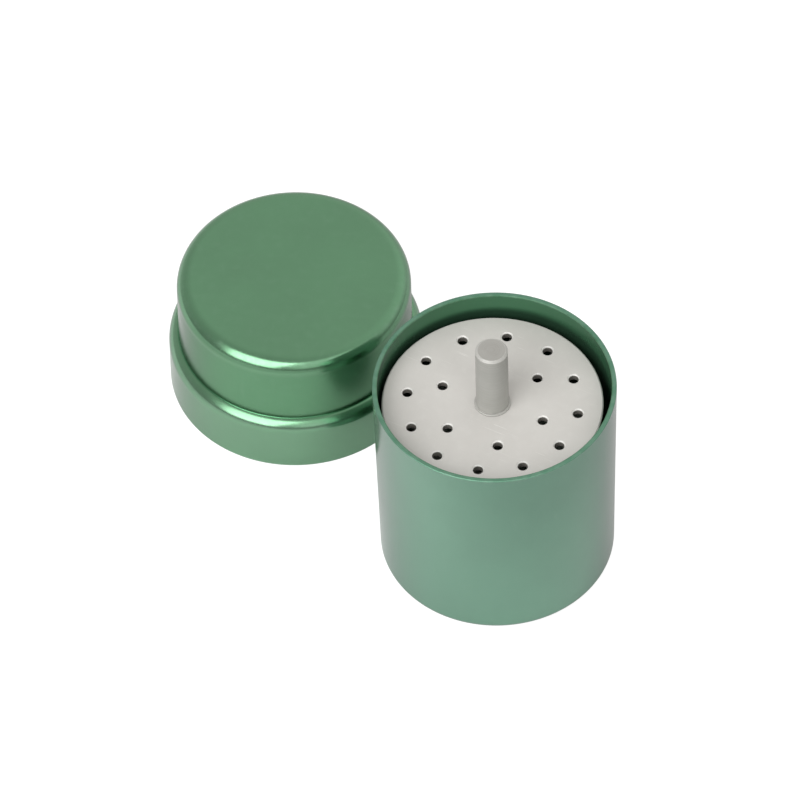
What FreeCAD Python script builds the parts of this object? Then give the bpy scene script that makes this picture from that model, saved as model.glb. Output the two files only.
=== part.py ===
import FreeCAD, Part
import math
import os

# Round endodontic file box, with its lid standing beside it.
# A drawn cup holds a lift-out rack: a drilled file plate, a guide plate and a foot plate, kept apart by
# two spacer tubes and clamped by one long screw that runs up into the handle post.
# The lid is a stepped drawn cap: its skirt slips over the cup's rim and its step rests on it.
# The rack stands loosely in the cup, a little off its centre.
# The origin is the centre of the cup's underside, +Z is up, and the front of the box looks towards -Y.
# Every size is in millimetres and every angle in degrees.

# Cup
cup_rim_d = 50.0
cup_base_d = 48.3
cup_h = 49.4
cup_wall = 1.0
cup_floor_t = 1.2
cup_corner_r = 1.6
cup_inner_corner_r = 0.9
cup_lip = 0.3

# Lid
lid_fit = 0.4
lid_wall = 1.1
lid_h = 30.0
lid_ledge_h = 12.5
lid_ledge_slope = 20.0
lid_step = 2.1
lid_neck_r = 0.3
lid_crown_r = 3.0
lid_edge = 0.3

# Where the lid stands
lid_gap = 10.65
lid_bearing = 130.9

# Rack plates
plate_drop = 5.3
plate_t = 1.5
guide_t = 1.0
foot_t = 2.0
plate_gap = 1.2
guide_gap = 1.2
foot_gap = 0.9
plate_edge = 0.25
rack_shift = -0.45

# File holes
file_hole_d = 2.1
file_hole_bevel = 0.25
outer_ring_d = 35.4
outer_ring_n = 12
inner_ring_d = 22.5
inner_ring_n = 6
rack_turn = 18.75

# Handle post, spacers and washer
post_d = 6.7
post_h = 16.6
post_bevel = 0.45
washer_d = 7.5
washer_t = 0.4
spacer_d = 7.0
spacer_upper_h = 17.0

# Clamping screw
screw_d = 3.0
screw_clear = 0.1
thread_clear = 0.05
screw_grip = 7.0
screw_head_d = 5.6
screw_head_rim = 0.2
screw_sink = 0.1
socket_af = 2.0
socket_depth = 1.1
tap_runout = 2.0
drill_point = 118.0

# Places worked out from the sizes
cup_rim_r = cup_rim_d / 2
cup_base_r = cup_base_d / 2
plate_z = cup_h - plate_drop - plate_t
guide_z = plate_z - spacer_upper_h - guide_t
foot_z = cup_floor_t
spacer_lower_z = foot_z + foot_t
spacer_lower_h = guide_z - spacer_lower_z
washer_z = plate_z + plate_t
post_z = washer_z + washer_t
screw_z = foot_z + screw_sink
lid_skirt_r = cup_rim_r + lid_fit + lid_wall
lid_crown_wall_r = lid_skirt_r - lid_step
lid_neck_z = lid_ledge_h + lid_step * math.tan(math.radians(lid_ledge_slope))
# The shoulder runs into the neck without a straight between them.
lid_shoulder_r = lid_step / (1 - math.sin(math.radians(lid_ledge_slope))) - lid_neck_r
lid_distance = cup_rim_r + lid_skirt_r + lid_gap


def cup_outer_r(height):
    """Radius of the cup's outer wall at a height above its underside."""
    return cup_base_r + (cup_rim_r - cup_base_r) * height / cup_h


def cup_inner_r(height):
    """Radius of the cup's inner wall at a height above its underside."""
    return cup_outer_r(height) - cup_wall


def corner_arc(before, corner, after, radius):
    """Start, middle and end of the arc that rounds a corner of an outline."""
    to_before = (before - corner).normalize()
    to_after = (after - corner).normalize()
    half = to_before.getAngle(to_after) / 2
    middle_way = (to_before + to_after).normalize()
    run = radius / math.tan(half)
    start = corner + to_before * run
    end = corner + to_after * run
    middle = corner + middle_way * (radius / math.sin(half) - radius)
    return start, middle, end


def turned(outline):
    """Solid of revolution about Z from closed corners (radius, height) or (radius, height, rounding)."""
    points = [FreeCAD.Vector(corner[0], 0, corner[1]) for corner in outline]
    rounds = [corner[2] if len(corner) > 2 else 0 for corner in outline]
    arcs = []
    for i, point in enumerate(points):
        if rounds[i] > 0:
            arcs.append(corner_arc(points[i - 1], point, points[(i + 1) % len(points)], rounds[i]))
        else:
            arcs.append((point, None, point))
    edges = []
    for i, (start, middle, end) in enumerate(arcs):
        if middle is not None:
            edges.append(Part.Arc(start, middle, end).toShape())
        following = arcs[(i + 1) % len(arcs)][0]
        if (following - end).Length > 1e-6:
            edges.append(Part.LineSegment(end, following).toShape())
    face = Part.Face(Part.Wire(edges))
    return face.revolve(FreeCAD.Vector(0, 0, 0), FreeCAD.Vector(0, 0, 1), 360)


def disc(radius, bottom, thickness, bore_r, edge):
    """Flat round plate with a centre hole and bevelled outer edges."""
    top = bottom + thickness
    return turned([
        (bore_r, bottom),
        (radius - edge, bottom),
        (radius, bottom + edge),
        (radius, top - edge),
        (radius - edge, top),
        (bore_r, top),
    ])


def tube(outer_r, bore_r, bottom, height):
    """Plain tube standing on the Z axis."""
    return turned([
        (bore_r, bottom),
        (outer_r, bottom),
        (outer_r, bottom + height),
        (bore_r, bottom + height),
    ])


def file_drill(bottom, thickness, bevel):
    """Cutter for one file hole: a straight bore, with a bevelled mouth on the upper face if asked for."""
    hole_r = file_hole_d / 2
    bore = Part.makeCylinder(hole_r, thickness + 2, FreeCAD.Vector(0, 0, bottom - 1))
    if bevel == 0:
        return bore
    mouth_z = bottom + thickness - bevel
    return bore.fuse(Part.makeCone(hole_r, hole_r + 2 * bevel, 2 * bevel, FreeCAD.Vector(0, 0, mouth_z)))


def drilled(plate, bottom, thickness, bevel):
    """Plate with the outer and the inner ring of file holes; the inner holes lie between the outer ones."""
    drill = file_drill(bottom, thickness, bevel)
    inner_turn = rack_turn + 180 / outer_ring_n
    cutters = []
    for ring_d, count, first in (
        (outer_ring_d, outer_ring_n, rack_turn),
        (inner_ring_d, inner_ring_n, inner_turn),
    ):
        for i in range(count):
            bearing = math.radians(first + 360 * i / count)
            cutter = drill.copy()
            cutter.translate(FreeCAD.Vector(math.cos(bearing), math.sin(bearing), 0) * (ring_d / 2))
            cutters.append(cutter)
    return plate.cut(cutters)


def cup():
    """Drawn cup: flat base, rounded foot, walls that open slightly towards a bevelled lip."""
    lip_z = cup_h - cup_lip
    return turned([
        (0, 0),
        (cup_base_r, 0, cup_corner_r),
        (cup_outer_r(lip_z), lip_z),
        (cup_rim_r - cup_lip, cup_h),
        (cup_rim_r - cup_wall + cup_lip, cup_h),
        (cup_inner_r(lip_z), lip_z),
        (cup_inner_r(cup_floor_t), cup_floor_t, cup_inner_corner_r),
        (0, cup_floor_t),
    ])


def lid():
    """Drawn stepped lid, standing on its open edge beside the cup."""
    inner_skirt_r = lid_skirt_r - lid_wall
    inner_crown_r = lid_crown_wall_r - lid_wall
    inner_drop = lid_wall * math.tan(math.radians((90 - lid_ledge_slope) / 2))
    shell = turned([
        (0, lid_h - lid_wall),
        (inner_crown_r, lid_h - lid_wall, lid_crown_r - lid_wall),
        (inner_crown_r, lid_neck_z - inner_drop, lid_neck_r + lid_wall),
        (inner_skirt_r, lid_ledge_h - inner_drop, lid_shoulder_r - lid_wall),
        (inner_skirt_r, lid_edge),
        (inner_skirt_r + lid_edge, 0),
        (lid_skirt_r - lid_edge, 0),
        (lid_skirt_r, lid_edge),
        (lid_skirt_r, lid_ledge_h, lid_shoulder_r),
        (lid_crown_wall_r, lid_neck_z, lid_neck_r),
        (lid_crown_wall_r, lid_h, lid_crown_r),
        (0, lid_h),
    ])
    bearing = math.radians(lid_bearing)
    shell.translate(FreeCAD.Vector(math.cos(bearing), math.sin(bearing), 0) * lid_distance)
    return shell


def file_plate():
    """Upper drilled plate, which the files hang in by their handles."""
    radius = cup_inner_r(plate_z) - plate_gap
    blank = disc(radius, plate_z, plate_t, screw_d / 2 + screw_clear, plate_edge)
    return drilled(blank, plate_z, plate_t, file_hole_bevel)


def guide_plate():
    """Lower drilled plate, whose holes line up with the file plate's and keep the files upright."""
    radius = cup_inner_r(guide_z) - guide_gap
    blank = disc(radius, guide_z, guide_t, screw_d / 2 + screw_clear, plate_edge)
    return drilled(blank, guide_z, guide_t, 0)


def foot_plate():
    """Plate that the rack stands on, with a countersink below for the screw's head."""
    radius = cup_inner_r(foot_z) - cup_inner_corner_r - foot_gap
    bore_r = screw_d / 2 + screw_clear
    head_r = screw_head_d / 2 + screw_clear
    rim_z = foot_z + screw_sink + screw_head_rim
    return turned([
        (head_r, foot_z),
        (radius - plate_edge, foot_z),
        (radius, foot_z + plate_edge),
        (radius, foot_z + foot_t - plate_edge),
        (radius - plate_edge, foot_z + foot_t),
        (bore_r, foot_z + foot_t),
        (bore_r, rim_z + head_r - bore_r),
        (head_r, rim_z),
    ])


def handle_post():
    """Handle above the plate: a rod with a bevelled top and a blind tapped hole from below."""
    top = post_z + post_h
    radius = post_d / 2
    tap_r = screw_d / 2 + thread_clear
    tap_top = post_z - washer_t + screw_grip + tap_runout
    point = tap_r / math.tan(math.radians(drill_point / 2))
    return turned([
        (tap_r, post_z),
        (radius, post_z),
        (radius, top - post_bevel),
        (radius - post_bevel, top),
        (0, top),
        (0, tap_top + point),
        (tap_r, tap_top),
    ])


def clamp_screw():
    """Long countersunk socket screw, from the foot plate up into the post."""
    head_r = screw_head_d / 2
    shank_r = screw_d / 2
    cone_z = screw_z + screw_head_rim
    screw = turned([
        (0, screw_z),
        (head_r, screw_z),
        (head_r, cone_z),
        (shank_r, cone_z + head_r - shank_r),
        (shank_r, washer_z + screw_grip),
        (0, washer_z + screw_grip),
    ])
    corner_r = socket_af / 2 / math.cos(math.radians(30))
    corners = [
        FreeCAD.Vector(
            corner_r * math.cos(math.radians(60 * i)), corner_r * math.sin(math.radians(60 * i)), screw_z
        )
        for i in range(7)
    ]
    socket = Part.Face(Part.makePolygon(corners)).extrude(FreeCAD.Vector(0, 0, socket_depth))
    return screw.cut(socket)


rack = {
    "file_plate": file_plate(),
    "guide_plate": guide_plate(),
    "foot_plate": foot_plate(),
    "handle_post": handle_post(),
    "post_washer": tube(washer_d / 2, screw_d / 2 + screw_clear, washer_z, washer_t),
    "upper_spacer": tube(spacer_d / 2, screw_d / 2 + screw_clear, guide_z + guide_t, spacer_upper_h),
    "lower_spacer": tube(spacer_d / 2, screw_d / 2 + screw_clear, spacer_lower_z, spacer_lower_h),
    "clamp_screw": clamp_screw(),
}
for shape in rack.values():
    shape.translate(FreeCAD.Vector(rack_shift, 0, 0))
parts = {"cup": cup(), "lid": lid(), **rack}

os.makedirs("parts", exist_ok=True)
for name, shape in parts.items():
    shape.exportStep(f"parts/{name}.step")
    print(name, shape.isValid(), len(shape.Solids), round(shape.Volume, 2))
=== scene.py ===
import math

import bmesh
import bpy
from bpy.props import FloatProperty, FloatVectorProperty, IntProperty, PointerProperty
from mathutils import Matrix, Vector


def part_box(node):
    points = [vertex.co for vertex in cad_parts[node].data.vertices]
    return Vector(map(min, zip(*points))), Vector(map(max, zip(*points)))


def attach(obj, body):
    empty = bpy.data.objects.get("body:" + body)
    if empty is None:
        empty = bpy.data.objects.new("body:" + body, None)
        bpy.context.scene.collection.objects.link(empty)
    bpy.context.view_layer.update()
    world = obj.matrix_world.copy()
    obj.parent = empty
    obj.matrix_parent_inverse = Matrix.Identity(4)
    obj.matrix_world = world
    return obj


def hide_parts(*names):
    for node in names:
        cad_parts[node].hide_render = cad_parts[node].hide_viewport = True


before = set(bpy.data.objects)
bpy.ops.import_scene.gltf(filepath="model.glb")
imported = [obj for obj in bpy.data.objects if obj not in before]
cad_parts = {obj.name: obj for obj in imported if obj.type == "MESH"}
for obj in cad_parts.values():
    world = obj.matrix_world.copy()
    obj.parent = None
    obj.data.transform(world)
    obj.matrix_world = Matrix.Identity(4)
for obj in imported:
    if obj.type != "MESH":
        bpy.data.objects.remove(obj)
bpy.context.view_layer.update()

bl_info = {
    "name": "Round File Box",
    "version": (1, 0, 0),
    "blender": (4, 5, 0),
    "location": "View3D > Sidebar > File Box",
    "description": "Dresses a round endodontic file box: drawn cup and lid, drilled plates, post and screw",
    "category": "Object",
}

MM = 0.001
PHOTO_SIDE = 800
SENSOR_WIDTH = 36.0
CAMERA_REACH = 20.0

# The longest and the fewest steps of a rounded corner, the angle from which an edge stays sharp,
# how near to its corners a long side is held flat, and how near two points are the same one.
ARC_STEP = math.radians(7)
FEWEST_STEPS = 3
SHARP_ANGLE = math.radians(28)
HOLD = 0.12 * MM
TOUCH = 1e-7

# Points round each kind of piece.
DRAWN_SEGMENTS = 256
PLATE_SEGMENTS = 192
POST_SEGMENTS = 128
SPACER_SEGMENTS = 96
HOLE_SEGMENTS = 48
SCREW_SEGMENTS = 48
FLOOR_SEGMENTS = 96

# The height of a drilled hole's conical end, in radii of the hole, the sides of the screw's
# socket, and the thread: its steps for each turn, the turns over which it runs out, and the
# share of its depth that is left at the screw's end.
DRILL_POINT = 0.6
SOCKET_SIDES = 6
STEPS_PER_TURN = 8
RUN_OUT_TURNS = 2
END_THREAD = 0.3

# Cycles of the noises in a millimetre, along, across and up for the scratches, and the heights
# of the grain and of the turned rings.
GRAIN_CYCLES = 9.0
PATCH_CYCLES = 0.5
CLOUD_CYCLES = 0.09
HANDLED_CYCLES = 0.11
SCRATCH_CYCLES = (0.12, 6.0, 0.9)
GRAIN_HEIGHT = 0.006 * MM
RING_HEIGHT = 0.008 * MM

# Where the lamps point, between the cup and the lid, and how far the floor lies under the box.
BOX_MIDDLE = (-0.018, 0.022, 0.03)
FLOOR_DROP = 0.05 * MM

BLACK = (0.0, 0.0, 0.0)
WHITE = (1.0, 1.0, 1.0)


def length(name, description, millimetres):
    """A size that the user can change, given in millimetres and kept in metres."""
    return FloatProperty(
        name=name, description=description, default=millimetres * MM, min=0.0, unit="LENGTH", precision=5
    )


def colour(name, description, red, green, blue):
    """A linear colour that the user can change."""
    return FloatVectorProperty(
        name=name, description=description, default=(red, green, blue), size=3, min=0.0, max=1.0,
        subtype="COLOR",
    )


def share(name, description, value, high=1.0):
    """A plain factor that the user can change."""
    return FloatProperty(
        name=name, description=description, default=value, min=0.0, max=high, subtype="FACTOR"
    )


def angle(name, description, degrees):
    """An angle that the user can change, given in degrees and kept in radians."""
    return FloatProperty(
        name=name, description=description, default=math.radians(degrees), subtype="ANGLE"
    )


def power(name, description, watts):
    """A lamp's power that the user can change."""
    return FloatProperty(name=name, description=description, default=watts, unit="POWER")


class CupSizes(bpy.types.PropertyGroup):
    """Sizes of the drawn cup that its box in the frame doesn't give."""

    base_radius: length("Base Radius", "Radius of the cup where its wall would meet the table", 24.15)
    wall: length("Wall", "Thickness of the cup's wall", 1.0)
    floor: length("Floor", "Thickness of the cup's floor", 1.2)
    foot: length("Foot Rounding", "Rounding between base and wall, outside", 1.6)
    inner_foot: length("Inner Foot Rounding", "Rounding between floor and wall, inside", 0.9)
    lip: length("Lip Rounding", "Rounding of the rim, on both sides of the wall", 0.22)


class LidSizes(bpy.types.PropertyGroup):
    """Sizes of the stepped lid that its box in the frame doesn't give."""

    wall: length("Wall", "Thickness of the lid's wall", 1.1)
    ledge_height: length("Step Height", "Height where the skirt's wall would meet the sloping step", 12.5)
    slope: angle("Step Slope", "How steeply the step falls away from the crown", 20)
    step: length("Step", "How far the crown stands in from the skirt", 2.1)
    neck: length("Neck Rounding", "Hollow rounding at the foot of the crown", 0.3)
    crown: length("Crown Rounding", "Rounding round the flat top", 3.0)
    edge: length("Edge Rounding", "Rounding of the open edge", 0.3)


class RackSizes(bpy.types.PropertyGroup):
    """Sizes of the lift-out rack that the frame doesn't give."""

    hole_radius: length("Hole Radius", "Radius of a file hole", 1.05)
    hole_bevel: length("Hole Bevel", "Bevel round the mouth of a file hole", 0.25)
    plate_edge: length("Plate Edge", "Bevel round each plate's edge", 0.25)
    outer_ring: length("Outer Ring Radius", "Radius of the ring of twelve holes", 17.7)
    inner_ring: length("Inner Ring Radius", "Radius of the ring of six holes", 11.25)
    bore: length("Bore Radius", "Radius of the hole that the screw passes through", 1.6)
    post_bevel: length("Post Bevel", "Bevel round the top of the post", 0.45)
    shank: length("Shank Radius", "Radius of the clamping screw's shank", 1.5)
    head_rim: length("Head Rim", "Height of the straight rim round the screw's head", 0.2)
    head_sink: length("Head Sink", "How far the screw's head lies inside the foot plate", 0.1)
    head_clear: length("Head Clearance", "Room round the screw's head", 0.1)
    socket: length("Socket Radius", "Half the width across the flats of the screw's socket", 1.0)
    socket_depth: length("Socket Depth", "Depth of the screw's socket", 1.1)
    thread_pitch: length("Thread Pitch", "Pitch of the screw's thread", 0.5)
    thread_depth: length("Thread Depth", "Depth of the screw's thread", 0.3)
    thread_length: length("Thread Length", "Length of the screw's threaded end", 9.0)
    socket_point: length("Socket Point", "Height of the conical floor of the screw's socket", 0.2)
    tapped_depth: length("Tapped Depth", "Depth of the post's tapped hole", 8.6)
    washer_edge: length("Washer Edge", "Bevel round the washer's edge", 0.08)
    spacer_edge: length("Spacer Edge", "Bevel round the spacers' ends", 0.15)
    outer_holes: IntProperty(
        name="Outer Holes", description="Number of holes on the outer ring", default=12, min=1
    )
    inner_holes: IntProperty(
        name="Inner Holes", description="Number of holes on the inner ring", default=6, min=1
    )
    ring_turn: angle("Ring Turn", "Bearing of the outer ring's first hole, from the right", 18.75)


class FinishColours(bpy.types.PropertyGroup):
    """Colours of the box's finishes, as linear values, and the weights of their layers."""

    cup_green: colour("Cup Green", "The cup's dyed aluminium, where it is untouched", 0.127, 0.298, 0.203)
    lid_green: colour("Lid Green", "The lid's dyed aluminium, where it is untouched", 0.088, 0.26, 0.123)
    # Painted shade: a darker green that stands for the shade inside the cup, in the lid's neck hollow, on
    # the crown's wall and on the rim's top
    shaded_inner_green: colour("Inner Green", "The dye inside the cup", 0.062, 0.177, 0.094)
    # Painted shade: a near-black green for the shade inside the cup below the file plate
    deep_shade_green: colour("Deep Green", "The dye inside, below the file plate", 0.02, 0.045, 0.028)
    edge_tint: colour("Edge Tint", "Tint of the dyed metal seen at a flat angle", 0.43, 0.41, 0.43)
    # Pale dye for rubbed edges and random paleness; on the lid's skirt it is also painted light
    worn_and_lit_green: colour("Worn Green", "The dye where rims and edges have rubbed", 0.34, 0.50, 0.40)
    silver: colour("Silver", "Clear anodised aluminium plates", 0.54, 0.525, 0.50)
    silver_dull: colour("Dull Silver", "The plates where they have dulled in use", 0.50, 0.487, 0.462)
    turned: colour("Turned Metal", "Turned and clear anodised aluminium", 0.28, 0.275, 0.252)
    faced: colour("Faced Metal", "The post's top, which the tool left duller", 0.17, 0.16, 0.145)
    # Pale bare metal of cuts and scratches; on the bevels it is also a painted highlight
    bright: colour("Bright Cut", "Freshly cut bevels and edges", 0.90, 0.90, 0.87)
    steel: colour("Steel", "Stainless steel of the screw", 0.56, 0.55, 0.53)
    # Painted shade: the dark colour that stands for the shade down in the plates' holes
    hole_shade_colour: colour("Recess", "Dust and shade in the deepest grooves", 0.09, 0.082, 0.07)
    grain: share("Grain", "Depth of the blasted grain under the dye", 0.06)
    inner_matt: share("Inner Matt", "How much of the metal's shine is lost inside the cup", 0.5)
    cup_coat: share("Cup Coat", "Strength of the cup's clear sealing layer", 0.9)
    lid_coat: share("Lid Coat", "Strength of the lid's clear sealing layer", 0.8)
    satin: share("Satin", "Roughness of the dyed metal", 0.23)
    coat_satin: share("Coat Satin", "Roughness of the clear sealing layer", 0.22)
    coat_index: share("Coat Index", "Refractive index of the clear sealing layer", 1.8, 3.0)
    plate_metal: share("Plate Metal", "How metallic the clear anodised plates look", 0.05)
    plate_satin: share("Plate Satin", "Roughness of the plates", 0.5)
    post_metal: share("Post Metal", "How metallic the turned pieces look", 0.15)
    cloud_shade: share("Cloud Shade", "Darkest clouds of the dye, as a share of its colour", 0.93)
    patch_fade: share("Patch Fade", "How far dye and plates pale in their palest patches", 0.2)
    draw_fade: share("Drawing Lines", "How far the dye pales along the lines left by drawing", 0.1)
    rubbed: share("Rubbed", "How far rubbed dye turns pale", 0.4)
    scratched: share("Scratched", "How far scratched dye turns pale", 0.2)
    # Painted shade: how far the inside below the file plate is darkened
    below_plate_shade: share("Dye Below", "How far the dye deepens inside the cup below the file plate", 0.7)
    # Painted shade: how far the rim's top is darkened, which dims the highlight along the lip
    rim_shade: share("Rim Dye", "How far the rim's cut top takes the dye of the inside", 0.15)
    cut_bare: share("Rim Bare", "How much of the sealing layer the rim's cut top lacks", 0.8)
    cut_matt: share("Rim Matt", "How much rougher the rim's cut top is", 0.3)
    # Painted shade: how far the hollow at the crown's foot is darkened
    neck_shade: share("Neck Dye", "How far the dye deepens in the hollow at the crown's foot", 0.6)
    # Painted shade: how far the crown's wall is darkened against the skirt
    crown_wall_shade: share("Crown Dye", "How far the dye deepens on the crown's wall", 0.05)
    wall_bare: share("Crown Bare", "How much of the sealing layer the crown's wall lacks", 0.3)
    # Painted light: how far the lid's skirt is coloured paler than its crown
    skirt_light: share("Skirt Fade", "How far the lid's skirt is paler than its crown", 0.15)
    # Bare cut metal and a painted highlight: how pale the plates' bevels are
    plate_bevel: share("Plate Bevel", "How bright the plates' cut bevels are", 0.35)
    plate_scratch: share("Plate Scratches", "How bright the plates' scratches are", 0.3)
    # Painted shade: how dark the holes are painted below their bevels
    hole_shade_strength: share("Hole Soot", "How dark the plates' holes are below their bevels", 0.85)
    ring_bright: share("Ring Bright", "How bright the turned rings are", 0.2)
    turned_bright: share("Turned Bright", "How bright the turned metal is between its rings", 0.07)
    turned_stain: share("Turned Stain", "How far the turned metal dulls in patches", 0.25)
    top_dull: share("Top Dull", "How far the post's top is dulled", 0.36)
    # Bare cut metal and a painted highlight: how pale the post's top bevel is
    bevel_bright: share("Bevel Bright", "How bright the bevel round the post's top is", 0.06)


class StageSettings(bpy.types.PropertyGroup):
    """The camera, the lamps and the floor."""

    elevation: angle("Elevation", "Height of the camera above the horizon", 50.878)
    tilt: angle("Tilt", "Turn of the camera about its own line of sight", -1.71)
    distance: length("Distance", "From the camera to the cup's axis at the file plate", 2453.0)
    beside: length("Beside", "How far that point lies to the right of the line of sight", 19.367)
    below: length("Below", "How far that point lies below the line of sight", 0.548)
    focal_pixels: FloatProperty(
        name="Focal Length", description="Focal length in pixels of the square photograph",
        default=12000.0, min=1.0,
    )
    floor_radius: length("Floor Radius", "Radius of the pale floor", 1500.0)
    sky_back: share("Back Sky", "Brightness of the surroundings above and behind", 0.84, 3.0)
    sky_front: share("Front Sky", "Brightness of the surroundings above and in front", 0.55, 3.0)
    sky_low: share("Low Sky", "Brightness of the surroundings near the horizon", 0.42, 3.0)
    sky_lift: share("Sky Lift", "How much brighter the low surroundings are behind the box", 0.4, 3.0)
    sky_side: share("Side Sky", "How much brighter the surroundings are at the right", 0.4, 3.0)
    sky_tint: colour("Sky Tint", "Tint of the surroundings", 1.0, 0.99, 0.97)
    key: power("Key Lamp", "Power of the wide lamp at the front left", 13.5)
    key_bearing: angle("Key Bearing", "Bearing of the key lamp from the front", -40)
    key_width: length("Key Width", "Width of the key lamp", 920.0)
    fill: power("Fill Lamp", "Power of the weak lamp at the front right", 3.0)
    fill_bearing: angle("Fill Bearing", "Bearing of the fill lamp from the front", 20)
    fill_width: length("Fill Width", "Width of the fill lamp", 1100.0)
    lamp_rise: angle("Lamp Rise", "Height of the lamps over the horizon", 41)
    lamp_height: length("Lamp Height", "Height of the lamps' faces", 1150.0)
    lamp_distance: length("Lamp Distance", "From the lamps to the box", 1200.0)
    floor_shade: share("Floor Shade", "Paleness of the matt floor under the light", 0.3)
    floor_pale: share("Floor Pale", "Paleness of the matt floor as the metal sees it", 0.8)
    floor_seen: share("Floor Seen", "Light added to the floor as the camera sees it", 0.85)
    floor_mirrored: share("Floor Mirrored", "Light added to the floor as the metal sees it", 0.07)
    # Painted light and shadow on the floor as the metal sees it: a falloff to the right, a pool that dims
    # away in front, and a painted shadow between the cup and the lid
    floor_fall: share("Floor Fall", "How much dimmer the floor is at the right than at the left", 0.3)
    floor_gap: share("Floor Gap", "How much dimmer the floor is between the cup and the lid", 0.3)
    floor_pool: share("Floor Pool", "How much dimmer the floor is away from the box, in front", 0.42)


def corner_arc(before, corner, after, radius):
    """Points of the arc that rounds a corner, from the first side to the second."""
    to_before = (before - corner).normalized()
    to_after = (after - corner).normalized()
    half = to_before.angle(to_after) / 2
    centre = corner + (to_before + to_after).normalized() * (radius / math.sin(half))
    start = corner + to_before * (radius / math.tan(half)) - centre
    turn = math.pi - 2 * half
    way = 1 if to_before.x * to_after.y - to_before.y * to_after.x < 0 else -1
    steps = max(FEWEST_STEPS, math.ceil(turn / ARC_STEP))
    return [centre + Matrix.Rotation(way * turn * i / steps, 2) @ start for i in range(steps + 1)]


def rounded_outline(corners):
    """Outline through corners of (radius, height) or (radius, height, rounding); holds long sides flat."""
    points = [Vector(corner[:2]) for corner in corners]
    runs = []
    for i, corner in enumerate(corners):
        if len(corner) > 2:
            runs.append(corner_arc(points[i - 1], points[i], points[(i + 1) % len(points)], corner[2]))
        else:
            runs.append([points[i]])
    outline = []
    for i, run in enumerate(runs):
        outline.extend(run)
        following = runs[(i + 1) % len(runs)][0]
        side = following - run[-1]
        if i + 1 < len(runs) and side.length > 4 * HOLD:
            hold = side.normalized() * HOLD
            outline.extend([run[-1] + hold, following - hold])
    return outline


def finish_mesh(bm, name, centre):
    """Object from a bmesh whose origin is on the piece's own axis, smooth but for its sharp edges."""
    bmesh.ops.remove_doubles(bm, verts=bm.verts, dist=TOUCH)
    bmesh.ops.recalc_face_normals(bm, faces=bm.faces)
    for face in bm.faces:
        face.smooth = True
    for edge in bm.edges:
        edge.smooth = len(edge.link_faces) == 2 and edge.calc_face_angle() < SHARP_ANGLE
    mesh = bpy.data.meshes.new(name)
    bm.to_mesh(mesh)
    bm.free()
    piece = bpy.data.objects.new(name, mesh)
    piece.location = (centre[0], centre[1], 0.0)
    bpy.context.scene.collection.objects.link(piece)
    return piece


def ring_of(bm, radius, height, segments, centre=(0.0, 0.0)):
    """Vertices of a level circle, or one vertex on the axis."""
    if radius < TOUCH:
        return [bm.verts.new((centre[0], centre[1], height))]
    return [
        bm.verts.new((
            centre[0] + radius * math.cos(math.tau * i / segments),
            centre[1] + radius * math.sin(math.tau * i / segments),
            height,
        ))
        for i in range(segments)
    ]


def bridge(bm, first, second):
    """Band of faces between two circles, or a fan where one of them is a single vertex."""
    count = max(len(first), len(second))
    for i in range(count):
        following = (i + 1) % count
        corners = [first[i % len(first)], first[following % len(first)]]
        corners += [second[following % len(second)], second[i % len(second)]]
        bm.faces.new(list(dict.fromkeys(corners)))


def bridge_all(bm, rings):
    """Bands of faces from each circle to the next."""
    for first, second in zip(rings, rings[1:]):
        bridge(bm, first, second)


def revolve(bm, outline, segments, centre=(0.0, 0.0)):
    """Turned surface through points of (radius, height). Gives its circles back."""
    rings = [ring_of(bm, radius, height, segments, centre) for radius, height in outline]
    bridge_all(bm, rings)
    return rings


def lathe(name, corners, segments, centre, closed=False):
    """Turned piece from its outline. A closed outline goes round a bore and meets itself again."""
    bm = bmesh.new()
    rings = revolve(bm, rounded_outline(corners), segments)
    if closed:
        bridge(bm, rings[-1], rings[0])
    return finish_mesh(bm, name, centre)


def bevelled_side(radius, edge, low, high):
    """Outline of a round side with bevelled edges, from the bottom up."""
    return [(radius - edge, low), (radius, low + edge), (radius, high - edge), (radius - edge, high)]


def cap_with_holes(bm, loops):
    """Flat face between an outer circle and the circles inside it."""
    edges = []
    for loop in loops:
        for i, vertex in enumerate(loop):
            following = loop[(i + 1) % len(loop)]
            edges.append(bm.edges.get((vertex, following)) or bm.edges.new((vertex, following)))
    bmesh.ops.triangle_fill(bm, use_beauty=True, use_dissolve=False, edges=edges)


def file_hole_places(rack):
    """Centres of the file holes, ring by ring; the inner holes lie between the outer ones."""
    inner_turn = rack.ring_turn + math.pi / rack.outer_holes
    places = []
    for radius, count, first in (
        (rack.outer_ring, rack.outer_holes, rack.ring_turn),
        (rack.inner_ring, rack.inner_holes, inner_turn),
    ):
        for i in range(count):
            bearing = first + math.tau * i / count
            places.append((radius * math.cos(bearing), radius * math.sin(bearing)))
    return places


def drilled_plate(name, node, rack, bevel):
    """Round plate with bevelled edges, a plain screw bore and file holes with this bevel at the mouth."""
    radius, low, high, centre = seat(node)
    bm = bmesh.new()
    side = revolve(bm, bevelled_side(radius, rack.plate_edge, low, high), PLATE_SEGMENTS)
    bottoms, tops = [side[0]], [side[-1]]
    bores = [((0.0, 0.0), rack.bore, 0.0)]
    bores += [(place, rack.hole_radius, bevel) for place in file_hole_places(rack)]
    for place, bore, mouth in bores:
        wall = [(bore, low), (bore, high - mouth)]
        if mouth > 0:
            wall.append((bore + mouth, high))
        rings = revolve(bm, wall, HOLE_SEGMENTS, place)
        bottoms.append(rings[0])
        tops.append(rings[-1])
    cap_with_holes(bm, tops)
    cap_with_holes(bm, bottoms)
    return finish_mesh(bm, name, centre)


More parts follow.
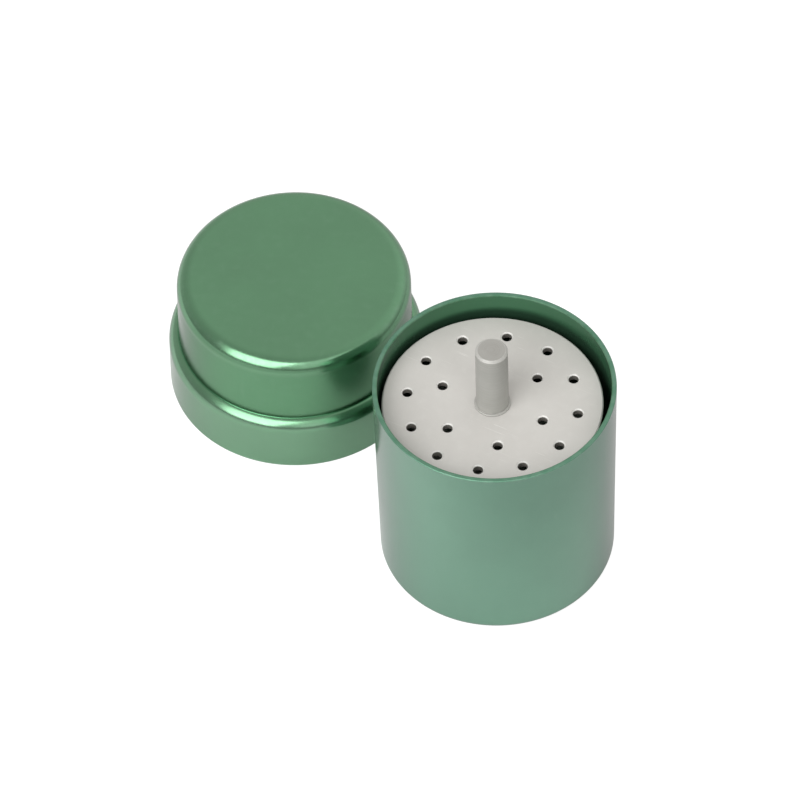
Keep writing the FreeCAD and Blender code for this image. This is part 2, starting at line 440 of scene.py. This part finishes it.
def socket_mouth(half_across):
    """Points of the screw's hexagonal socket, spread evenly along its sides."""
    corner = half_across / math.cos(math.pi / SOCKET_SIDES)
    turns = [math.tau * i / SOCKET_SIDES for i in range(SOCKET_SIDES)]
    corners = [Vector((corner * math.cos(turn), corner * math.sin(turn))) for turn in turns]
    points = []
    for i in range(SCREW_SEGMENTS):
        side, step = divmod(i * SOCKET_SIDES, SCREW_SEGMENTS)
        following = corners[(side + 1) % SOCKET_SIDES]
        points.append(corners[side].lerp(following, step / SCREW_SEGMENTS))
    return points


def thread_rings(bm, rack, high):
    """Circles of the screw's thread, which runs out at both ends."""
    low = high - rack.thread_length
    steps = round(rack.thread_length / rack.thread_pitch * STEPS_PER_TURN)
    run_out = rack.thread_pitch * RUN_OUT_TURNS
    rings = []
    for step in range(1, steps):
        height = low + rack.thread_length * step / steps
        deep = min(1.0, (height - low) / run_out, (high - height) / run_out + END_THREAD)
        ring = []
        for i in range(SCREW_SEGMENTS):
            turn = ((height - low) / rack.thread_pitch - i / SCREW_SEGMENTS) % 1.0
            radius = rack.shank - rack.thread_depth * deep * abs(2 * turn - 1)
            bearing = math.tau * i / SCREW_SEGMENTS
            ring.append(bm.verts.new((radius * math.cos(bearing), radius * math.sin(bearing), height)))
        rings.append(ring)
    return rings


class Field:
    """A socket that takes part in arithmetic: each operator adds the Math node that it stands for."""

    def __init__(self, finish, socket):
        self.finish = finish
        self.socket = socket

    def math(self, operation, *values):
        """Adds a Math node that works on these values."""
        return self.finish.node("ShaderNodeMath", {"operation": operation}, dict(enumerate(values)))

    def __add__(self, other):
        return self.math("ADD", self, other)

    __radd__ = __add__

    def __sub__(self, other):
        return self.math("SUBTRACT", self, other)

    def __rsub__(self, other):
        return self.math("SUBTRACT", other, self)

    def __mul__(self, other):
        return self.math("MULTIPLY", self, other)

    __rmul__ = __mul__

    def __truediv__(self, other):
        return self.math("DIVIDE", self, other)


def socket_name(key):
    """Name of a shader's socket, from a keyword such as coat_ior."""
    return key.replace("_", " ").title().replace("Ior", "IOR")


class Nodes:
    """A node tree that is built up one node at a time."""

    def __init__(self, tree):
        self.tree = tree
        self.tree.nodes.clear()

    def set(self, node, values):
        """Gives a node's sockets their values or links."""
        for key, value in values.items():
            if isinstance(value, Field):
                self.tree.links.new(value.socket, node.inputs[key])
            else:
                node.inputs[key].default_value = value

    def node(self, kind, settings=None, values=None, output=0):
        """Adds a node: its settings or a ramp's stops first, then its sockets."""
        node = self.tree.nodes.new(kind)
        for key, value in (settings or {}).items():
            if key == "stops":
                for _ in value[2:]:
                    node.color_ramp.elements.new(0.5)
                for element, (position, grey) in zip(node.color_ramp.elements, value):
                    element.position = position
                    element.color = (grey, grey, grey, 1.0)
            else:
                setattr(node, key, value)
        self.set(node, values or {})
        return Field(self, node.outputs[output])

    def point(self, x, y, z):
        """Vector of three fields or numbers."""
        return self.node("ShaderNodeCombineXYZ", values={0: x, 1: y, 2: z})

    def distance(self, x, y):
        """Distance of the point x, y from the middle."""
        squares = x * x + y * y
        return squares.math("SQRT", squares)

    def bearing(self, x, y):
        """Bearing of the point x, y from the middle."""
        return y.math("ARCTAN2", y, x)

    def noise(self, point, scale, detail, roughness):
        """Cloudy noise from 0 to 1; scale is in cycles for each millimetre of the point."""
        values = {"Vector": point, "Scale": scale, "Detail": detail, "Roughness": roughness}
        return self.node("ShaderNodeTexNoise", values=values)

    def ramp(self, field, *stops):
        """Field remapped through grey stops of (position, value)."""
        return self.node("ShaderNodeValToRGB", {"stops": stops}, {0: field})

    def band(self, field, low, high):
        """0 below low, 1 above high, smooth between."""
        values = {"Value": field, "From Min": low, "From Max": high}
        return self.node("ShaderNodeMapRange", {"interpolation_type": "SMOOTHSTEP"}, values)

    def blend(self, factor, first, second):
        """Colour mix; first and second are colours or fields."""
        values = {0: factor, 6: self.rgba(first), 7: self.rgba(second)}
        return self.node("ShaderNodeMix", {"data_type": "RGBA"}, values, output=2)

    def bump(self, height, strength, distance):
        """Normal of a surface that this height raises."""
        values = {"Strength": strength, "Distance": distance, "Height": height}
        return self.node("ShaderNodeBump", values=values)

    @staticmethod
    def rgba(value):
        """Colour with its alpha, or the field itself."""
        return value if isinstance(value, Field) else (*value, 1.0)


class Finish(Nodes):
    """One procedural material: a Principled shader and the nodes that feed it."""

    def __init__(self, name, **constants):
        self.material = bpy.data.materials.new(name)
        self.material.use_nodes = True
        super().__init__(self.material.node_tree)
        self.shader = self.tree.nodes.new("ShaderNodeBsdfPrincipled")
        output = self.tree.nodes.new("ShaderNodeOutputMaterial")
        self.tree.links.new(self.shader.outputs[0], output.inputs["Surface"])
        self.set(self.shader, {socket_name(key): value for key, value in constants.items()})

    def place(self):
        """Position on the piece, in millimetres from its own axis."""
        point = self.node("ShaderNodeTexCoord", output="Object")
        return [self.node("ShaderNodeSeparateXYZ", values={0: point}, output=axis) / MM for axis in "XYZ"]

    def feed(self, **fields):
        """Links fields to the Principled shader."""
        self.set(self.shader, {socket_name(key): value for key, value in fields.items()})
        return self.material


def satin_grain(finish, x, y, z):
    """Blasted grain, the wide clouds under it and the patches between them."""
    point = finish.point(x, y, z)
    grain = finish.noise(point, GRAIN_CYCLES, detail=3.0, roughness=0.6)
    cloud = finish.noise(point, CLOUD_CYCLES, detail=3.0, roughness=0.55)
    patch = finish.noise(point, PATCH_CYCLES, detail=4.0, roughness=0.6)
    return grain, cloud, patch


def scratches(finish, x, y, z, turn, density):
    """Sparse fine scratches that run one way, as a mask."""
    along = x * math.cos(turn) + y * math.sin(turn)
    across = y * math.cos(turn) - x * math.sin(turn)
    values = {0: finish.point(along, across, z), 1: SCRATCH_CYCLES}
    stretched = finish.node("ShaderNodeVectorMath", {"operation": "MULTIPLY"}, values)
    lines = finish.noise(stretched, 1.0, detail=2.0, roughness=0.4)
    handled = finish.noise(finish.point(x, y, z), HANDLED_CYCLES, detail=2.0, roughness=0.5)
    return finish.band(lines, 1.0 - density, 1.0 - density + 0.04) * finish.band(handled, 0.48, 0.66)


def green_anodised(name, colours, green, coat, worn_mask, cup_masks=None, lid_masks=None):
    """Dyed satin aluminium: clouded dye, blasted grain, drawing lines round the walls and rubbed edges, with
    painted shade and light from the cup's and the lid's masks.
    """
    edge_tint = (*colours.edge_tint, 1.0)
    finish = Finish(
        name, specular_tint=edge_tint, coat_roughness=colours.coat_satin, coat_ior=colours.coat_index
    )
    x, y, z = finish.place()
    radius = finish.distance(x, y)
    grain, cloud, patch = satin_grain(finish, x, y, z)
    around = finish.point(finish.bearing(x, y) * 24.0, z * 0.05, radius * 0.3)
    drawn = finish.noise(around, 1.6, detail=3.0, roughness=0.6)
    deep = tuple(value * colours.cloud_shade for value in green)
    dye = finish.blend(finish.ramp(cloud, (0.32, 0.0), (0.68, 1.0)), deep, green)
    faded = (patch - 0.5) * colours.patch_fade + (drawn - 0.5) * colours.draw_fade
    dye = finish.blend(faded, dye, colours.worn_and_lit_green)
    satin = colours.satin
    sealed = 1.0 - patch * 0.1
    metal = 1.0 - grain * 0.02
    if cup_masks is not None:
        inside, below_plate, cut = cup_masks(finish, z, radius)
        # Painted shade: the cup's inner side is coloured darker for the shade inside it
        dye = finish.blend(inside, dye, colours.shaded_inner_green)
        # Painted shade: darker still below the file plate
        dye = finish.blend(inside * below_plate * colours.below_plate_shade, dye, colours.deep_shade_green)
        # Painted shade: the rim's top is coloured darker, dimming its highlight
        dye = finish.blend(cut * colours.rim_shade, dye, colours.shaded_inner_green)
        sealed = sealed * (1.0 - inside) * (1.0 - cut * colours.cut_bare)
        metal = metal * (1.0 - inside * colours.inner_matt)
        satin = cut * colours.cut_matt + satin
    if lid_masks is not None:
        hollow, skirt, wall = lid_masks(finish, z, radius)
        # Painted light: the skirt is coloured paler, for the brighter floor that it reflects
        dye = finish.blend(skirt * colours.skirt_light, dye, colours.worn_and_lit_green)
        # Painted shade: the neck hollow and the crown's wall are coloured darker
        dye = finish.blend(hollow * colours.neck_shade + wall * colours.crown_wall_shade, dye, colours.shaded_inner_green)
        sealed = sealed * (1.0 - hollow - wall * colours.wall_bare)
    rubbed = worn_mask(finish, z, radius) * finish.band(patch, 0.25, 0.7)
    rubbed = rubbed.math("MINIMUM", rubbed, 1.0)
    fine = scratches(finish, x, y, z, turn=0.6, density=0.3)
    tint = finish.blend(rubbed * colours.rubbed, dye, colours.worn_and_lit_green)
    tint = finish.blend(fine * colours.scratched, tint, colours.worn_and_lit_green)
    rough = satin + (cloud - 0.5) * 0.08 + (drawn - 0.5) * 0.03 - rubbed * 0.06 + (grain - 0.5) * 0.06
    normal = finish.bump(grain + drawn * 0.15 - fine * 0.3, colours.grain, GRAIN_HEIGHT)
    return finish.feed(
        base_color=tint, metallic=metal, roughness=rough, coat_weight=sealed * coat, normal=normal
    )


def cup_inside(rim_z, base_radius, rim_radius):
    """The cup's inner side, its part below the file plate, and the rim's cut top; all in millimetres."""
    slope = (rim_radius - base_radius) / rim_z

    def masks(finish, z, radius):
        from_outside = base_radius + z * slope - radius
        inside = finish.band(from_outside, 0.6, 0.95) * finish.band(z, 0.3, 1.1)
        below_plate = 1.0 - finish.band(z, rim_z - 5.2, rim_z - 3.2)
        return inside, below_plate, finish.band(z, rim_z - 0.3, rim_z - 0.1)

    return masks


def cup_wear(rim_z):
    """Rubbed rim and foot of the cup, by height in millimetres."""

    def mask(finish, z, radius):
        rim = finish.band(z, rim_z - 0.75, rim_z - 0.2)
        foot = 1.0 - finish.band(z, 0.05, 0.7)
        return rim * 0.5 + foot * 0.5

    return mask


def lid_wear(top_z, ledge_z, crown_radius, skirt_radius):
    """Rubbed open edge, step and top rounding of the lid; all in millimetres."""

    def mask(finish, z, radius):
        edge = 1.0 - finish.band(z, 0.1, 0.7)
        step = finish.band(z, ledge_z - 1.5, ledge_z - 0.6)
        step = step * finish.band(radius, skirt_radius - 1.2, skirt_radius - 0.3)
        top = finish.band(z, top_z - 1.8, top_z - 0.6)
        top = top * finish.band(radius, crown_radius - 1.9, crown_radius - 0.8)
        return edge * 0.7 + step * 0.35 + top * 0.3

    return mask


def lid_zones(top_z, ledge_z, neck_z, crown_radius):
    """The hollow at the crown's foot, the skirt, and the crown's wall; all in millimetres."""

    def masks(finish, z, radius):
        hollow = 1.0 - finish.band(finish.distance(z - neck_z, radius - crown_radius), 0.05, 0.45)
        skirt = 1.0 - finish.band(z, ledge_z - 1.0, ledge_z + 1.0)
        wall = finish.band(z, ledge_z + 1.0, ledge_z + 2.5)
        wall = wall * (1.0 - finish.band(z, top_z - 4.0, top_z - 2.5))
        return hollow, skirt, wall

    return masks


def clear_anodised(name, colours, top_z):
    """Satin plate: fine grain, faint stains and handling marks, bevels paled as bare cut metal and as a
    painted highlight, and holes darkened with painted shade.
    """
    finish = Finish(name, metallic=colours.plate_metal)
    x, y, z = finish.place()
    grain, cloud, patch = satin_grain(finish, x, y, z)
    tint = finish.blend(finish.ramp(cloud, (0.3, 0.0), (0.7, 1.0)), colours.silver, colours.silver_dull)
    tint = finish.blend((patch - 0.5) * colours.patch_fade, tint, colours.bright)
    fine = scratches(finish, x, y, z, turn=-0.5, density=0.33)
    depth = top_z - z
    cut = finish.band(depth, 0.01, 0.05) * (1.0 - finish.band(depth, 0.24, 0.27))
    # The bevels pale as bare cut metal and as a painted highlight
    tint = finish.blend(cut * colours.plate_bevel, tint, colours.bright)
    tint = finish.blend(fine * colours.plate_scratch, tint, colours.bright)
    # Painted shade down the holes, below the bevels
    tint = finish.blend(finish.band(depth, 0.25, 0.5) * colours.hole_shade_strength, tint, colours.hole_shade_colour)
    rough = colours.plate_satin + (cloud - 0.5) * 0.1 - cut * 0.08 + (grain - 0.5) * 0.06 - fine * 0.08
    normal = finish.bump(grain - fine * 0.4, colours.grain, GRAIN_HEIGHT)
    return finish.feed(base_color=tint, roughness=rough, normal=normal)


def turned_metal(name, colours, base, metallic, pitch, roughness, faced=None):
    """Turned metal: tool rings over a satin grain; faced is the top's height and radius in millimetres."""
    finish = Finish(name, metallic=metallic)
    x, y, z = finish.place()
    radius = finish.distance(x, y)
    grain, cloud, patch = satin_grain(finish, x, y, z)
    ringed = finish.point(finish.bearing(x, y) * 0.15, radius / pitch, z / pitch)
    rings = finish.noise(ringed, 1.0, detail=2.0, roughness=0.7)
    shine = rings * colours.ring_bright + (cloud - 0.5) * 0.3 + colours.turned_bright
    tint = finish.blend(shine, base, colours.bright)
    tint = finish.blend(finish.band(patch, 0.55, 0.8) * colours.turned_stain, tint, colours.silver_dull)
    if faced is not None:
        height, reach = faced
        top = finish.band(z, height - 0.03, height - 0.01)
        top = top * (1.0 - finish.band(radius, reach - 0.15, reach))
        bevel = finish.band(z, height - 0.5, height - 0.4) * (1.0 - top)
        tint = finish.blend(top * colours.top_dull, tint, colours.faced)
        # The top bevel pales as bare cut metal and as a painted highlight
        tint = finish.blend(bevel * colours.bevel_bright, tint, colours.bright)
    rough = roughness + (rings - 0.5) * 0.12 + (cloud - 0.5) * 0.08
    normal = finish.bump(rings * 0.5 + grain * 0.4, colours.grain, RING_HEIGHT)
    return finish.feed(base_color=tint, roughness=rough, normal=normal)


def seat(node):
    """Outer radius, bottom, top and axis of a round node, from its box."""
    low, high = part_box(node)
    return (high.x - low.x) / 2, low.z, high.z, ((low.x + high.x) / 2, (low.y + high.y) / 2)


def dress(piece, material, node, body):
    """Puts a made piece in the place of its CAD node."""
    piece.data.materials.append(material)
    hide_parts(node)
    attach(piece, body)


class FILEBOX_OT_cup(bpy.types.Operator):
    """Makes the drawn cup with its rounded foot and lip."""

    bl_idname = "filebox.cup"
    bl_label = "Cup"

    def execute(self, context):
        sizes = context.scene.filebox_cup
        colours = context.scene.filebox_finish
        rim, low, high, centre = seat("cup")
        base = sizes.base_radius
        floor_z = low + sizes.floor
        cup = lathe("drawn_cup", [
            (0.0, low),
            (base, low, sizes.foot),
            (rim, high, sizes.lip),
            (rim - sizes.wall, high, sizes.lip),
            (base + (rim - base) * sizes.floor / (high - low) - sizes.wall, floor_z, sizes.inner_foot),
            (0.0, floor_z),
        ], DRAWN_SEGMENTS, centre)
        wear = cup_wear(high / MM)
        inside = cup_inside(high / MM, base / MM, rim / MM)
        material = green_anodised("cup_green", colours, colours.cup_green, colours.cup_coat, wear, inside)
        dress(cup, material, "cup", "cup")
        return {"FINISHED"}


class FILEBOX_OT_lid(bpy.types.Operator):
    """Makes the stepped lid that stands beside the cup."""

    bl_idname = "filebox.lid"
    bl_label = "Lid"

    def execute(self, context):
        sizes = context.scene.filebox_lid
        colours = context.scene.filebox_finish
        skirt, low, high, centre = seat("lid")
        crown = skirt - sizes.step
        wall = sizes.wall
        neck_z = sizes.ledge_height + sizes.step * math.tan(sizes.slope)
        inner_drop = wall * math.tan((math.pi / 2 - sizes.slope) / 2)
        shoulder = sizes.step / (1 - math.sin(sizes.slope)) - sizes.neck
        lid = lathe("stepped_lid", [
            (0.0, high - wall),
            (crown - wall, high - wall, sizes.crown - wall),
            (crown - wall, neck_z - inner_drop, sizes.neck + wall),
            (skirt - wall, sizes.ledge_height - inner_drop, shoulder - wall),
            (skirt - wall, low, sizes.edge),
            (skirt, low, sizes.edge),
            (skirt, sizes.ledge_height, shoulder),
            (crown, neck_z, sizes.neck),
            (crown, high, sizes.crown),
            (0.0, high),
        ], DRAWN_SEGMENTS, centre)
        wear = lid_wear(high / MM, sizes.ledge_height / MM, crown / MM, skirt / MM)
        zones = lid_zones(high / MM, sizes.ledge_height / MM, neck_z / MM, crown / MM)
        material = green_anodised(
            "lid_green", colours, colours.lid_green, colours.lid_coat, wear, lid_masks=zones
        )
        dress(lid, material, "lid", "lid")
        return {"FINISHED"}


class FILEBOX_OT_plates(bpy.types.Operator):
    """Makes the two drilled plates and the foot plate."""

    bl_idname = "filebox.plates"
    bl_label = "Plates"

    def execute(self, context):
        rack = context.scene.filebox_rack
        colours = context.scene.filebox_finish
        radius, low, high, centre = seat("foot_plate")
        head = seat("clamp_screw")[0] + rack.head_clear
        rim_z = low + rack.head_sink + rack.head_rim
        plates = [
            ("file_plate", drilled_plate("drilled_file_plate", "file_plate", rack, rack.hole_bevel)),
            ("guide_plate", drilled_plate("drilled_guide_plate", "guide_plate", rack, 0.0)),
            ("foot_plate", lathe("rack_foot_plate", [
                (head, low),
                *bevelled_side(radius, rack.plate_edge, low, high),
                (rack.bore, high),
                (rack.bore, rim_z + head - rack.bore),
                (head, rim_z),
            ], PLATE_SEGMENTS, centre, closed=True)),
        ]
        for node, plate in plates:
            material = clear_anodised(f"{node}_silver", colours, seat(node)[2] / MM)
            dress(plate, material, node, "rack")
        return {"FINISHED"}


class FILEBOX_OT_post(bpy.types.Operator):
    """Makes the handle post with the tapped hole under it."""

    bl_idname = "filebox.post"
    bl_label = "Post"

    def execute(self, context):
        rack = context.scene.filebox_rack
        colours = context.scene.filebox_finish
        radius, low, high, centre = seat("handle_post")
        top_radius = radius - rack.post_bevel
        tap_z = low + rack.tapped_depth
        outside = [
            (rack.shank, low),
            (radius, low),
            (radius, high - rack.post_bevel),
            (top_radius, high),
            (0.0, high),
        ]
        tapped = [(rack.shank, low), (rack.shank, tap_z), (0.0, tap_z + rack.shank * DRILL_POINT)]
        bm = bmesh.new()
        revolve(bm, rounded_outline(outside), POST_SEGMENTS)
        revolve(bm, tapped, POST_SEGMENTS)
        post = finish_mesh(bm, "turned_post", centre)
        faced = (high / MM, top_radius / MM)
        material = turned_metal(
            "post_turned", colours, colours.turned, colours.post_metal,
            pitch=0.22, roughness=0.48, faced=faced,
        )
        dress(post, material, "handle_post", "rack")
        return {"FINISHED"}


class FILEBOX_OT_spacers(bpy.types.Operator):
    """Makes the washer under the post and the two spacer tubes between the plates."""

    bl_idname = "filebox.spacers"
    bl_label = "Washer and Spacers"

    def execute(self, context):
        rack = context.scene.filebox_rack
        colours = context.scene.filebox_finish
        for node, name, edge, segments, pitch, roughness in (
            ("post_washer", "post_collar", rack.washer_edge, POST_SEGMENTS, 0.15, 0.42),
            ("upper_spacer", "upper_spacer_tube", rack.spacer_edge, SPACER_SEGMENTS, 0.3, 0.38),
            ("lower_spacer", "lower_spacer_tube", rack.spacer_edge, SPACER_SEGMENTS, 0.3, 0.38),
        ):
            radius, low, high, centre = seat(node)
            side = bevelled_side(radius, edge, low, high)
            tube = lathe(name, [(rack.bore, low), *side, (rack.bore, high)], segments, centre, closed=True)
            material = turned_metal(
                f"{node}_turned", colours, colours.turned, colours.post_metal, pitch, roughness
            )
            dress(tube, material, node, "rack")
        return {"FINISHED"}


class FILEBOX_OT_screw(bpy.types.Operator):
    """Makes the clamping screw with its socket and its thread."""

    bl_idname = "filebox.screw"
    bl_label = "Screw"

    def execute(self, context):
        rack = context.scene.filebox_rack
        colours = context.scene.filebox_finish
        head, low, high, centre = seat("clamp_screw")
        socket_z = low + rack.socket_depth
        cone_z = low + rack.head_rim
        mouth = socket_mouth(rack.socket)
        bm = bmesh.new()
        rings = [ring_of(bm, 0.0, socket_z + rack.socket_point, SCREW_SEGMENTS)]
        for height in (socket_z, low):
            rings.append([bm.verts.new((*point, height)) for point in mouth])
        for radius, height in (
            (head, low),
            (head, cone_z),
            (rack.shank, cone_z + head - rack.shank),
            (rack.shank, high - rack.thread_length),
        ):
            rings.append(ring_of(bm, radius, height, SCREW_SEGMENTS))
        rings += thread_rings(bm, rack, high)
        for radius in (rack.shank - rack.thread_depth, 0.0):
            rings.append(ring_of(bm, radius, high, SCREW_SEGMENTS))
        bridge_all(bm, rings)
        screw = finish_mesh(bm, "socket_screw", centre)
        material = turned_metal(
            "screw_steel", colours, colours.steel, metallic=1.0, pitch=0.12, roughness=0.3
        )
        dress(screw, material, "clamp_screw", "rack")
        return {"FINISHED"}


def area_lamp(name, watts, size, place, target):
    """Oblong soft lamp that looks at the target."""
    lamp = bpy.data.lights.new(name, "AREA")
    lamp.energy = watts
    lamp.shape = "RECTANGLE"
    lamp.size, lamp.size_y = size
    holder = bpy.data.objects.new(name, lamp)
    holder.location = place
    holder.rotation_mode = "QUATERNION"
    holder.rotation_quaternion = (Vector(target) - Vector(place)).to_track_quat("-Z", "Y")
    holder.visible_camera = False
    bpy.context.scene.collection.objects.link(holder)


def from_bearing(across, up, distance, target):
    """Place about a target; bearing 0 is in front of it, and a quarter turn is at its right."""
    way = Vector((math.sin(across) * math.cos(up), -math.cos(across) * math.cos(up), math.sin(up)))
    return Vector(target) + way * distance


def floor_material(settings):
    """Pale matt floor: white to the camera; to the metal, painted light dims it at the right and in front,
    and a painted shadow darkens the gap.
    """
    finish = Finish("pale_floor", roughness=0.9, specular_ior_level=0.1, emission_strength=1.0)
    camera, glossy, passing = (
        finish.node("ShaderNodeLightPath", output=f"Is {ray} Ray")
        for ray in ("Camera", "Glossy", "Transmission")
    )
    mirrored = glossy + passing
    x, y = finish.place()[:2]
    radius = finish.distance(x, y)
    # Painted light: the floor dims away in front and to the right, with a painted shadow in the gap between
    # the cup and the lid
    away_in_front = finish.band(radius, 52.0, 98.0) * (1.0 - finish.band(y, 0.0, 60.0))
    gap_painted_shadow = 1.0 - finish.band(radius, 6.0, 26.0)
    fall = 1.0 - (finish.band(x, -50.0, 50.0) - 0.5) * settings.floor_fall
    fall = fall * (1.0 - away_in_front * settings.floor_pool) * (1.0 - gap_painted_shadow * settings.floor_gap)
    shade = mirrored * fall * (settings.floor_pale - settings.floor_shade) + settings.floor_shade
    level = camera * settings.floor_seen + mirrored * fall * settings.floor_mirrored
    return finish.feed(
        base_color=finish.blend(shade, BLACK, WHITE), emission_color=finish.blend(level, BLACK, WHITE)
    )


def soft_surroundings(settings):
    """World that is dim near the horizon, pale overhead, and paler behind and at the right."""
    world = bpy.data.worlds.new("soft_room")
    world.use_nodes = True
    sky = Nodes(world.node_tree)
    way = sky.node("ShaderNodeTexCoord", output="Generated")
    across, depth, height = (
        sky.node("ShaderNodeSeparateXYZ", values={0: way}, output=axis) for axis in "XYZ"
    )
    upper = sky.band(depth, -0.6, 0.6) * (settings.sky_back - settings.sky_front) + settings.sky_front
    upper = upper + (sky.band(across, -0.8, 0.8) - 0.5) * settings.sky_side
    lower = sky.band(depth, 0.0, 0.8) * settings.sky_lift + settings.sky_low
    level = sky.band(height, 0.0, 0.55) * (upper - lower) + lower
    values = {0: tuple(settings.sky_tint), "Scale": level}
    shine = sky.node("ShaderNodeVectorMath", {"operation": "SCALE"}, values)
    light = sky.node("ShaderNodeBackground", values={"Color": shine, "Strength": 1.0})
    output = sky.tree.nodes.new("ShaderNodeOutputWorld")
    sky.tree.links.new(light.socket, output.inputs["Surface"])
    bpy.context.scene.world = world


def photo_camera(settings):
    """Camera at the photograph's viewing angle."""
    plate_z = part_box("file_plate")[1].z
    turn = Matrix.Rotation(math.pi / 2 - settings.elevation, 3, "X") @ Matrix.Rotation(settings.tilt, 3, "Z")
    aim = Vector((0.0, 0.0, plate_z)) + turn @ Vector((-settings.beside, settings.below, 0.0))
    place = aim + turn @ Vector((0.0, 0.0, settings.distance))
    camera = bpy.data.cameras.new("camera")
    camera.sensor_width = SENSOR_WIDTH
    camera.lens = settings.focal_pixels / PHOTO_SIDE * SENSOR_WIDTH
    camera.clip_end = CAMERA_REACH
    holder = bpy.data.objects.new("camera", camera)
    holder.matrix_world = Matrix.Translation(place) @ turn.to_4x4()
    bpy.context.scene.collection.objects.link(holder)
    bpy.context.scene.camera = holder


class FILEBOX_OT_stage(bpy.types.Operator):
    """Makes the floor, the surroundings, the lamps and the camera."""

    bl_idname = "filebox.stage"
    bl_label = "Stage"

    def execute(self, context):
        settings = context.scene.filebox_stage
        context.scene.view_settings.view_transform = "Standard"
        bm = bmesh.new()
        revolve(bm, [(settings.floor_radius, 0.0), (0.0, 0.0)], FLOOR_SEGMENTS)
        lid_axis = seat("lid")[3]
        floor = finish_mesh(bm, "floor", (lid_axis[0] / 2, lid_axis[1] / 2))
        floor.location.z = -FLOOR_DROP
        floor.data.materials.append(floor_material(settings))
        soft_surroundings(settings)
        for name, watts, bearing, width in (
            ("key_lamp", settings.key, settings.key_bearing, settings.key_width),
            ("fill_lamp", settings.fill, settings.fill_bearing, settings.fill_width),
        ):
            place = from_bearing(bearing, settings.lamp_rise, settings.lamp_distance, BOX_MIDDLE)
            area_lamp(name, watts, (width, settings.lamp_height), place, BOX_MIDDLE)
        photo_camera(settings)
        return {"FINISHED"}


class FILEBOX_PT_sidebar(bpy.types.Panel):
    """Lists the file box's pieces and their sizes."""

    bl_idname = "FILEBOX_PT_sidebar"
    bl_label = "File Box"
    bl_space_type = "VIEW_3D"
    bl_region_type = "UI"
    bl_category = "File Box"

    def draw(self, context):
        for operator in OPERATORS:
            self.layout.operator(operator.bl_idname)
        for name, group in GROUPS.items():
            box = self.layout.box()
            for setting in group.__annotations__:
                box.prop(getattr(context.scene, name), setting)


GROUPS = {
    "filebox_cup": CupSizes,
    "filebox_lid": LidSizes,
    "filebox_rack": RackSizes,
    "filebox_finish": FinishColours,
    "filebox_stage": StageSettings,
}
OPERATORS = (
    FILEBOX_OT_cup,
    FILEBOX_OT_lid,
    FILEBOX_OT_plates,
    FILEBOX_OT_post,
    FILEBOX_OT_spacers,
    FILEBOX_OT_screw,
    FILEBOX_OT_stage,
)
CLASSES = (*GROUPS.values(), *OPERATORS, FILEBOX_PT_sidebar)


def register():
    """Adds the classes and hangs the settings on the scene."""
    for item in CLASSES:
        bpy.utils.register_class(item)
    for name, group in GROUPS.items():
        setattr(bpy.types.Scene, name, PointerProperty(type=group))


def unregister():
    """Takes the settings and the classes away again."""
    for name in GROUPS:
        delattr(bpy.types.Scene, name)
    for item in reversed(CLASSES):
        bpy.utils.unregister_class(item)


def main():
    """Makes every piece."""
    register()
    bpy.ops.filebox.cup()
    bpy.ops.filebox.lid()
    bpy.ops.filebox.plates()
    bpy.ops.filebox.post()
    bpy.ops.filebox.spacers()
    bpy.ops.filebox.screw()
    bpy.ops.filebox.stage()


if __name__ == "__main__":
    main()
